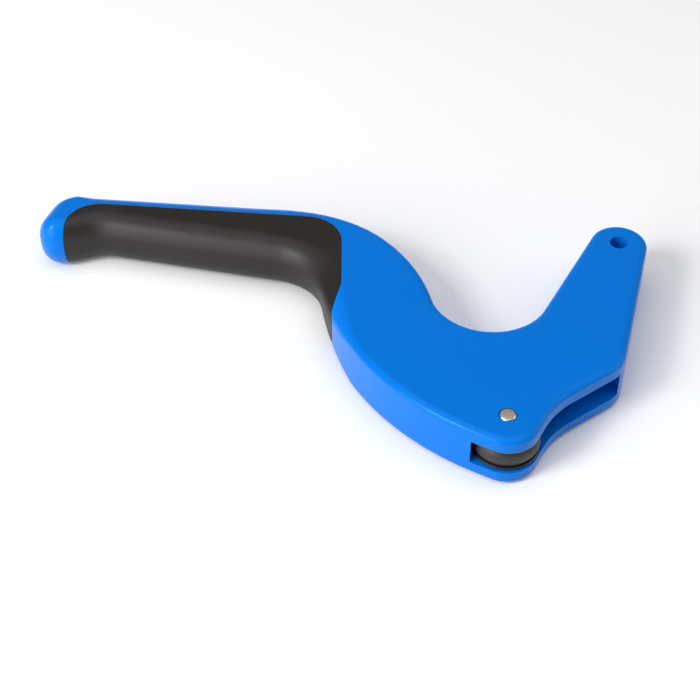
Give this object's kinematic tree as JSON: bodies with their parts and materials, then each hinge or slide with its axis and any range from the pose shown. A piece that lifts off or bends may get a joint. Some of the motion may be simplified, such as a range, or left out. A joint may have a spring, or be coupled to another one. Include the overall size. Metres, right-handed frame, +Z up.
{
  "type": "hooked lever hand tool",
  "caption": "Flat one-hand lever with a soft-grip handle, a wide U-shaped mouth, an ear with a hanging hole, and a free-turning roller on a steel pin in its slotted nose.",
  "frame": {"origin": "middle of the bounding box in plan, at the face that rests on the table", "axes": "+X from the pommel towards the ear, +Y from the nose towards the palm side and the mouth's opening, +Z up through the flat thickness"},
  "size_m": [0.2414, 0.14, 0.0224],
  "materials": {
    "body": "satin blue injection-moulded plastic",
    "grip": "fine-grained matt soft-touch elastomer",
    "roller": "satin black plastic",
    "tyre": "black rubber",
    "bush": "sintered bronze",
    "washer": "natural nylon",
    "pin": "turned steel end"
  },
  "bodies": {
    "lever": {"body_shell_lower": "body", "body_shell_upper": "body", "grip": "grip", "thrust_washer_upper": "washer", "thrust_washer_lower": "washer", "axle_pin": "pin"},
    "roller": {"roller_hub": "roller", "roller_tyre": "tyre", "roller_bush": "bush"}
  },
  "joints": [
    {"name": "roller_spin", "type": "hinge", "parent": "lever", "child": "roller", "pos_m": [0.05955, -0.05687, 0.011], "axis": [0, 0, 1], "continuous": true}
  ]
}
